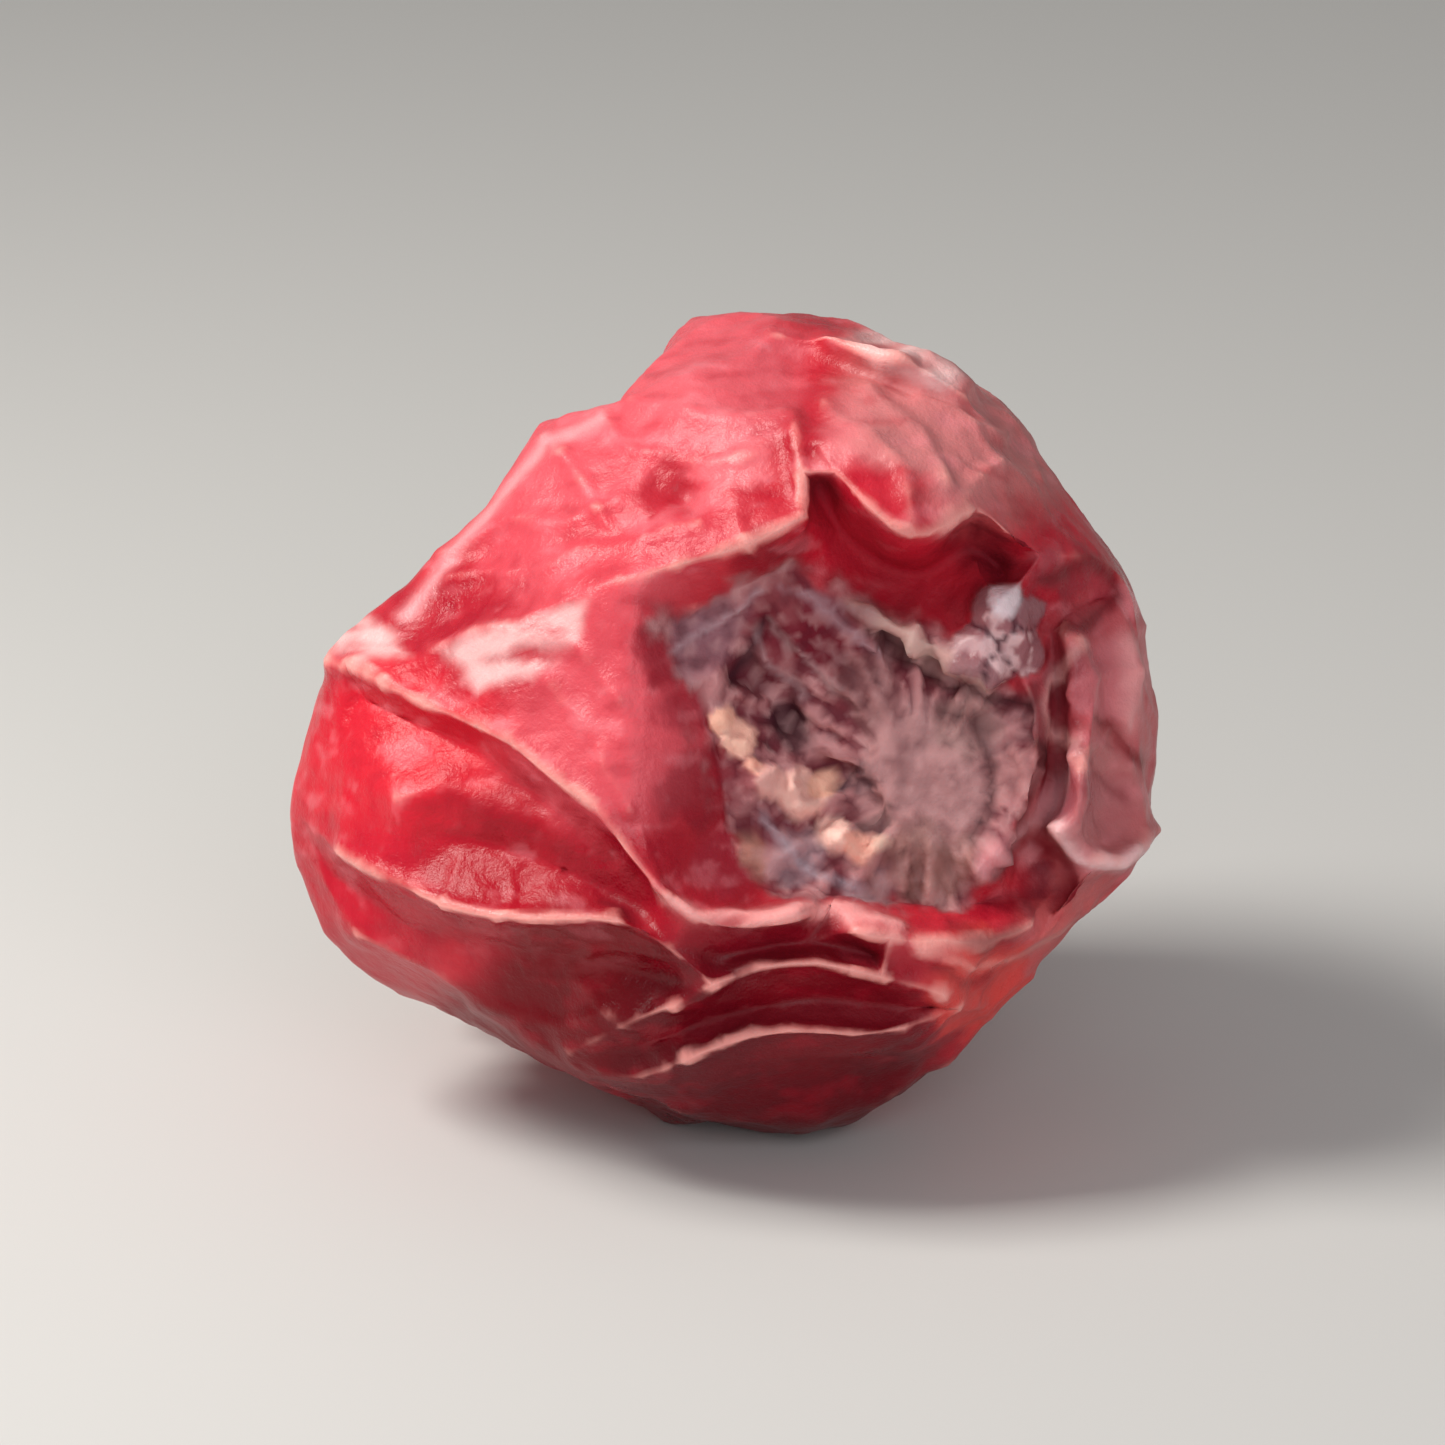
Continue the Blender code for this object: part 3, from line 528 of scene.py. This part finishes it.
def away_from_line(points, line):
    """The distance from a flat line in the face frame, in millimetres."""
    spots = points[:, :2]
    closest = np.full(len(points), np.inf)
    for a, b in zip(line, line[1:]):
        a, b = np.array(a), np.array(b)
        t = np.clip(((spots - a) @ (b - a)) / ((b - a) @ (b - a)), 0, 1)
        closest = np.minimum(closest, np.linalg.norm(spots - a - t[:, None] * (b - a), axis=1))
    return closest


def inside(points, outline):
    """How far inside a flat outline each point lies, in millimetres; outside is below 0."""
    closest = away_from_line(points, outline + outline[:1])
    x, y = points[:, 0], points[:, 1]
    within = np.zeros(len(points), bool)
    for (ax, ay), (bx, by) in zip(outline, outline[1:] + outline[:1]):
        if ay != by:
            within ^= ((ay > y) != (by > y)) & (x < (bx - ax) * (y - ay) / (by - ay) + ax)
    return np.where(within, closest, -closest)


def drawn(points, creases, wander):
    """The rise of creases that are drawn in, a little unsteady."""
    moved = points + wander
    rise = np.zeros(len(points))
    for height, width, line in creases:
        rise += height * np.exp(-(away_from_line(moved, line) / width) ** 2)
    return rise


def bump(points, spot):
    """A round bump by its x, y and reach, 1 at its top, on the side that faces out."""
    x, y, reach = spot
    away = np.hypot(points[:, 0] - x, points[:, 1] - y) / reach
    return np.clip(1 - away * away, 0, 1) * step(points[:, 2], *SPOTS_FACING)


def fibre(place):
    """Fibres that run out from the calyx plate, about -1 to 1."""
    x, y = place.x - PLATE[0], place.y - PLATE[1]
    away = math.hypot(x, y) + TINY
    return noise.noise(Vector((x / away * FIBRE_ROUND, y / away * FIBRE_ROUND, away * FIBRE_WAVES)))


def scar_cover(points):
    """1 over the stem scar."""
    way = points / np.linalg.norm(points, axis=1)[:, None]
    angle = np.degrees(np.arccos(np.clip(way @ np.array(STEM_WAY), -1, 1)))
    return step(-angle, -SCAR_ANGLE, -SCAR_ANGLE * SCAR_FULL)


def calmness(points):
    """1 on the broad taut panels that face out beside the calyx, and 0 elsewhere."""
    return step(points[:, 2], *CALM_DEPTH) * (1 - step(points[:, 0], *CALM_END))


class Marks:
    """The berry's natural patterns, read off the skin before it is crumpled."""

    def __init__(self, points):
        self.points = points
        self.ragged = waves(points, RAGGED_WAVES) * RAGGED_REACH
        self.speck = waves(points, SPECK_WAVES)
        self.torn = at_points(points, lambda p: noise.noise(p * TORN_WAVES))
        self.mottled = points + self.ragged[:, None] * MOTTLED
        self.frayed = points + self.ragged[:, None] * FRAYED
        within = inside(points, CALYX_EDGE) + self.ragged * CALYX_RAGGED
        self.calyx = step(within, *CALYX_FADE) * step(points[:, 2], *CALYX_DEPTH)


def settle(surface, sharp):
    """Lets the panels between the folds bend softly."""
    loose = LOOSEST + (TIGHTEST - LOOSEST) * step(sharp, SHARP_FROM, SHARP_TO)
    for _ in range(SMOOTH_ROUNDS):
        pull = surface.beside(surface.points) - surface.points
        surface.points = surface.points + pull * SMOOTH_SHARE * loose[:, None]


def crumples_and_veins(points):
    """Their rise, less on the calm panels."""
    rough = 1 - CALM_SHARE * calmness(points)
    warped = points + wandering(points, *CRUMPLE_WARP)
    rise = np.zeros(len(points))
    for size, relief, seed in CRUMPLES:
        rise += facets(warped, size, seed) * relief * rough
    veined = step(clouds(points, *VEIN_CLOUDS), *VEIN_FADE)
    steady = STEADY_VEINS + (1 - STEADY_VEINS) * rough
    return rise + at_points(points, vein) * VEIN_RISE * veined * steady


def calyx_relief(points, grit, wander):
    """The rise of the calyx's grit, of its plate's fibres and of those listed."""
    fibres = at_points(points, fibre) * (1 - bump(points, PLATE))
    return grit * CALYX_GRIT + fibres * FIBRE_RISE + drawn(points, CALYX_FIBRES, wander)


def crumbs_and_bead(points, grit, wander):
    """How far the crumbs and the bead's lobes stand out, towards the eye."""
    rise = np.zeros(len(points))
    for x, y, reach, _ in CRUMBS:
        crumb = np.sqrt(bump(points + wander, (x, y, reach)))
        rise = np.maximum(rise, CRUMB_RISE * (1 + grit) * crumb)
    for spot in BEAD:
        lobe = np.sqrt(bump(points + wander * BEAD_WANDER, spot))
        rise = np.maximum(rise, BEAD_RISE * (1 + BEAD_GRIT * grit) * lobe)
    return rise


def crumple(surface, calyx):
    """Raises the small crumples, lines, fibres and crumbs."""
    points = surface.points
    wander = wandering(points, *LINE_WANDER)
    grit = waves(points, GRIT_WAVES)
    facing = step(points[:, 2], *FACING)
    rise = crumples_and_veins(points) + drawn(points, CREASES, wander) * facing
    rise *= 1 - CALYX_TAUT * calyx
    rise += calyx * calyx_relief(points, grit, wander)
    rise += scar_cover(points) * grit * SCAR_GRIT
    raised = points + surface.normals() * rise[:, None]
    raised[:, 2] += crumbs_and_bead(points, grit, wander) + drawn(points, COLLAR_FILL, wander) * facing
    surface.points = raised


def laid_down(skin, points):
    """The finished skin as a mesh in metres, turned as the berry lies, with nothing below the table."""
    placed = points @ np.array(LIE).T + np.array(MIDDLE)
    placed[:, 2] = np.maximum(placed[:, 2], 0)
    for v, spot in zip(skin.verts, placed):
        v.co = Vector(spot) * MM
    mesh = bpy.data.meshes.new("dried_cranberry")
    skin.to_mesh(mesh)
    skin.free()
    mesh.shade_smooth()
    return mesh


def over(under, cover, share, hexcode):
    """Lays a share of a colour over others: rows of red, green, blue and how much is covered."""
    cover = (cover * share)[:, None]
    return under * (1 - cover) + np.array(linear(hexcode)) * cover


def spots_of_colour(points, spots):
    """Round spots of colour, each over the last, on bare skin."""
    rows = np.zeros((len(points), 4))
    for x, y, reach, share, hexcode in spots:
        rows = over(rows, step(bump(points, (x, y, reach)), *SPOT_FADE), share, hexcode)
    return rows


def lines_over(under, points, lines):
    """Lays coloured lines over other colours."""
    facing = step(points[:, 2], *FACING)
    for width, share, hexcode, line in lines:
        cover = np.exp(-(away_from_line(points, line) / width) ** 2)
        under = over(under, cover * facing, share, hexcode)
    return under


def bead_over(under, marks, lobes, bead):
    """Lays the bead's colours over others: its body, its streaks, painted shade in its lobes' seams and a
    painted highlight.
    """
    under = over(under, bead, *BEAD_BODY)
    under = over(under, bead * step(marks.torn + marks.speck, *BEAD_FADE), *BEAD_STREAKS)
    # painted shade in the seams
    under = over(under, bead * step(lobes[-2] - lobes[-1], *SEAM_SHADE_FADE), *BEAD_SEAM_SHADE)
    # painted highlight on the bead
    return over(under, step(bump(marks.frayed, BEAD_HIGHLIGHT_SPOT), *BEAD_HIGHLIGHT_FADE), *BEAD_HIGHLIGHT_WHITE)


def paint(mesh, name, values):
    """Keeps a row of values on the mesh for its material to read."""
    layer = mesh.attributes.new(name, "FLOAT", "POINT")
    layer.data.foreach_set("value", np.clip(values, 0, 1).astype(np.float32))


def paint_colour(mesh, name, rows):
    """Keeps colours on the mesh, with how much they cover as alpha."""
    cover = rows[:, 3:]
    rows = np.hstack([rows[:, :3] / np.maximum(cover, TINY), cover])
    layer = mesh.attributes.new(name, "FLOAT_COLOR", "POINT")
    layer.data.foreach_set("color", np.clip(rows, 0, 1).astype(np.float32).ravel())


def paint_relief(mesh, surface):
    """Paints light on what stands out broadly, shade in the folds and hollows, and pale crests that are
    partly a painted highlight.
    """
    closed = surface.smoothed(surface.closed_in(), SOFTEN_ROUNDS)
    crests = surface.smoothed(surface.stand_out(FINE_ROUNDS), SOFTEN_ROUNDS)
    broad = surface.stand_out(BROAD_ROUNDS)
    # painted shade in broad hollows
    hollow_shade = step(-broad, *HOLLOW_SHADE_FADE) * HOLLOW_SHADE_SHARE
    # painted light on broad bulges that lie open
    paint(mesh, "high", step(broad, *BULGE_LIGHT_FADE) * (1 - closed) * BULGE_LIGHT_SHARE)
    # painted shade in the folds and hollows
    paint(mesh, "fold", step(closed + hollow_shade, *FOLD_SHADE_FADE))
    # pale crests, partly a painted highlight
    paint(mesh, "pale_crest_and_highlight", step(crests, *CREST_FADE) * (1 - CREST_LOST * closed))


def paint_red_and_shade(mesh, marks):
    """How the red changes from place to place: spots that hold painted shade too, torn streaks and clouds
    of deeper red.
    """
    streaks = marks.torn + marks.speck * STREAK_SPECK
    above = step(marks.points[:, 1], *PALE_STREAK_START)
    # red spots, some of them painted shade
    blush_and_shade = spots_of_colour(marks.mottled, BLUSH_AND_SHADE)
    blush_and_shade = over(blush_and_shade, step(-streaks, *DARK_STREAK_FADE), *DARK_STREAKS)
    blush_and_shade = over(blush_and_shade, step(streaks, *PALE_STREAK_FADE) * above, *PALE_STREAKS)
    paint_colour(mesh, "blush_and_shade", blush_and_shade)
    paint(mesh, "deep", step(clouds(marks.points, *DEEP_CLOUDS), *DEEP_FADE) * DEEP_SHARE)


def paint_highlight_patches(mesh, marks):
    """Paints the pale highlight patches, torn along their edges."""
    # painted highlight patches, only on the side that faces out
    within = sum(step(inside(marks.frayed, outline), *PAINTED_HIGHLIGHT_FADE) for outline in PAINTED_HIGHLIGHTS)
    facing = step(marks.points[:, 2], *PAINTED_HIGHLIGHT_FACING)
    paint(mesh, "painted_highlight", within * facing * step(marks.torn, *PAINTED_HIGHLIGHT_TORN) * PAINTED_HIGHLIGHT_SHARE)


def paint_paper(mesh, marks):
    """Marks the papery calyx and stem scar, and where they are pale."""
    paper = np.maximum(marks.calyx, scar_cover(marks.points))
    fibres = at_points(marks.points, fibre) * marks.calyx
    pale = fibres + marks.ragged * PAPER_RAGGED + marks.speck * PAPER_SPECK
    paint(mesh, "paper", paper)
    paint(mesh, "paper_pale", paper * step(pale, *PAPER_FADE))


def paint_stains_and_light(mesh, marks):
    """The colours of the calyx and the collar, with the lines, crumbs and bead over them; some are painted
    shade and highlights.
    """
    collar = step(marks.points[:, 0], *COLLAR_START) * step(marks.points[:, 2], *FACING)
    stain_and_painted_light = spots_of_colour(marks.mottled, STAINS_AND_PAINTED_LIGHT) * np.maximum(marks.calyx, collar)[:, None]
    stain_and_painted_light = over(stain_and_painted_light, marks.calyx * step(marks.speck, *SPECK_FADE), *PALE_SPECKS)
    stain_and_painted_light = over(stain_and_painted_light, marks.calyx * step(-marks.speck, *SPECK_FADE), *DARK_SPECKS)
    # lines, many of them painted shade and highlights
    stain_and_painted_light = lines_over(stain_and_painted_light, marks.frayed, LINES_AND_PAINTED_LIGHT)
    for x, y, reach, hexcode in CRUMBS:
        crumb = bump(marks.frayed, (x, y, reach * CRUMB_STAIN))
        stain_and_painted_light = over(stain_and_painted_light, step(crumb, *CRUMB_FADE), 1, hexcode)
    lobes = np.sort([bump(marks.frayed, lobe) for lobe in BEAD], axis=0)
    bead = step(lobes[-1], *BEAD_FADE)
    paint_colour(mesh, "stain_and_painted_light", bead_over(stain_and_painted_light, marks, lobes, bead))
    paint(mesh, "bead", bead)


def berry(solid):
    """The whole berry: the solid's skin cut finer, crumpled, laid down and painted."""
    skin = finer_skin(solid)
    surface = Surface(skin)
    marks = Marks(surface.points)
    settle(surface, sharpness(skin))
    crumple(surface, marks.calyx)
    mesh = laid_down(skin, surface.points)
    paint_red_and_shade(mesh, marks)
    paint_relief(mesh, surface)
    paint_highlight_patches(mesh, marks)
    paint_paper(mesh, marks)
    paint_stains_and_light(mesh, marks)
    mesh.materials.append(dried_skin())
    made = bpy.data.objects.new("dried_cranberry", mesh)
    bpy.context.scene.collection.objects.link(made)
    return made


def skin_colour(tree, mottle):
    """The mottled red and the layers over it."""
    low, high = MOTTLE_FADE
    spread = add_node(tree, "ShaderNodeMapRange", {"From Min": low, "From Max": high}, {"Value": mottle})
    dark, bright = SKIN_REDS
    settings = {"data_type": "RGBA", COLOUR_BELOW: linear(dark), COLOUR_ABOVE: linear(bright)}
    mixed = add_node(tree, "ShaderNodeMix", settings, {MIX_SHARE: spread.outputs["Result"]})
    colour = mixed.outputs[MIXED_COLOUR]
    for name, hexcode in SKIN_LAYERS:
        layer = add_node(tree, "ShaderNodeAttribute", {"attribute_name": name})
        settings = {"data_type": "RGBA"}
        links = {MIX_SHARE: layer.outputs["Fac" if hexcode else "Alpha"], COLOUR_BELOW: colour}
        if hexcode:
            settings[COLOUR_ABOVE] = linear(hexcode)
        else:
            links[COLOUR_ABOVE] = layer.outputs["Color"]
        colour = add_node(tree, "ShaderNodeMix", settings, links).outputs[MIXED_COLOUR]
    return colour


def skin_roughness(tree, mottle):
    """Waxy and dry patches, with rougher folds and paper and a shiny bead."""
    low, high = GLOSS_FADE
    settings = {"From Min": low, "From Max": high, "To Min": WAXY_ROUGHNESS, "To Max": DRY_ROUGHNESS}
    roughness = add_node(tree, "ShaderNodeMapRange", settings, {"Value": mottle}).outputs["Result"]
    for name, value in LAYER_ROUGHNESS:
        layer = add_node(tree, "ShaderNodeAttribute", {"attribute_name": name})
        settings = {"data_type": "FLOAT", VALUE_ABOVE: value}
        links = {MIX_SHARE: layer.outputs["Fac"], VALUE_BELOW: roughness}
        roughness = add_node(tree, "ShaderNodeMix", settings, links).outputs[MIXED_VALUE]
    return roughness


def skin_grain(tree, place):
    """The fine grain of the dried skin, as a bump."""
    settings = {"Scale": 1 / (GRAIN_SIZE * MM), "Detail": GRAIN_DETAIL, "Roughness": GRAIN_HARSHNESS}
    grain = add_node(tree, "ShaderNodeTexNoise", settings, {"Vector": place})
    settings = {"Strength": GRAIN_STRENGTH, "Distance": GRAIN_DEPTH * MM}
    return add_node(tree, "ShaderNodeBump", settings, {"Height": grain.outputs["Fac"]}).outputs["Normal"]


def dried_skin():
    """Air dried cranberry skin: a waxy film gone leathery, so it glows where thin and shines in patches."""
    material = bpy.data.materials.new("air_dried_cranberry_skin")
    material.use_nodes = True
    tree = material.node_tree
    shader = tree.nodes["Principled BSDF"]
    place = add_node(tree, "ShaderNodeTexCoord").outputs["Object"]
    settings = {"Scale": 1 / (MOTTLE_SIZE * MM), "Detail": MOTTLE_DETAIL, "Roughness": MOTTLE_HARSHNESS}
    mottle = add_node(tree, "ShaderNodeTexNoise", settings, {"Vector": place}).outputs["Fac"]
    tree.links.new(skin_colour(tree, mottle), shader.inputs["Base Color"])
    tree.links.new(skin_roughness(tree, mottle), shader.inputs["Roughness"])
    tree.links.new(skin_grain(tree, place), shader.inputs["Normal"])
    shader.inputs["Specular IOR Level"].default_value = SHINE
    shader.inputs["Subsurface Weight"].default_value = GLOW
    shader.inputs["Subsurface Radius"].default_value = GLOW_REACH
    shader.inputs["Subsurface Scale"].default_value = GLOW_DEPTH * MM
    return material


def matt_board():
    """Pale painted board, matt, so that it shows the berry's soft shadow and no reflection."""
    material = bpy.data.materials.new("matt_pale_board")
    material.use_nodes = True
    shader = material.node_tree.nodes["Principled BSDF"]
    shader.inputs["Base Color"].default_value = linear(TABLE_GREY)
    shader.inputs["Roughness"].default_value = TABLE_ROUGHNESS
    return material


def table():
    """The floor that the berry lies on."""
    plate = bmesh.new()
    bmesh.ops.create_grid(plate, x_segments=1, y_segments=1, size=TABLE_REACH * MM)
    mesh = bpy.data.meshes.new("table")
    plate.to_mesh(mesh)
    plate.free()
    mesh.materials.append(matt_board())
    made = bpy.data.objects.new("table", mesh)
    bpy.context.scene.collection.objects.link(made)
    return made


def lamp(name, place, width, watts, colour):
    """A soft square lamp that shines at the berry."""
    light = bpy.data.lights.new(name, "AREA")
    light.size = width * MM
    light.energy = watts
    light.color = linear(colour)[:3]
    made = bpy.data.objects.new(name, light)
    made.location = Vector(place) * MM
    made.rotation_euler = (AIM - Vector(place)).to_track_quat("-Z", "Y").to_euler()
    bpy.context.scene.collection.objects.link(made)


def daylight():
    """A pale room, lit from the upper left with a weak fill in front."""
    bpy.context.scene.view_settings.view_transform = "Standard"
    world = bpy.data.worlds.new("pale_room")
    bpy.context.scene.world = world
    world.use_nodes = True
    sky = world.node_tree.nodes["Background"]
    sky.inputs["Color"].default_value = linear(ROOM_WHITE)
    sky.inputs["Strength"].default_value = ROOM_LIGHT
    lamp("window", *WINDOW)
    lamp("fill", *FILL)


def camera(width):
    """Looks at the berry from the photograph's side and height."""
    view = bpy.data.cameras.new("camera")
    view.lens = CAMERA_LENS
    away = width / BERRY_SHARE * CAMERA_LENS / view.sensor_width
    tilt = math.radians(CAMERA_ELEVATION)
    way = Vector((0, -math.cos(tilt), math.sin(tilt)))
    made = bpy.data.objects.new("camera", view)
    made.location = AIM * MM + way * away
    made.rotation_euler = (-way).to_track_quat("-Z", "Y").to_euler()
    view.clip_start = away * NEAREST
    view.clip_end = away * FURTHEST
    bpy.context.scene.collection.objects.link(made)
    bpy.context.scene.camera = made


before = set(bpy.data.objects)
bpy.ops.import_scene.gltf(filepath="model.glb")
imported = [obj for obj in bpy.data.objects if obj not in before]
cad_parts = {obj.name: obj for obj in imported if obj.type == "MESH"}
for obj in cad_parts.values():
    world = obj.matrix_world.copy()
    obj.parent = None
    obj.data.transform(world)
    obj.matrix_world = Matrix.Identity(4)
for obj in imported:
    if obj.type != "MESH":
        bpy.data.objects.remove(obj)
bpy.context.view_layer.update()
noise.seed_set(NOISE_SEED)
low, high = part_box("cranberry")
fruit = berry(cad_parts["cranberry"])
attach(fruit, "root")
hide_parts("cranberry")
table()
daylight()
camera(high.x - low.x)
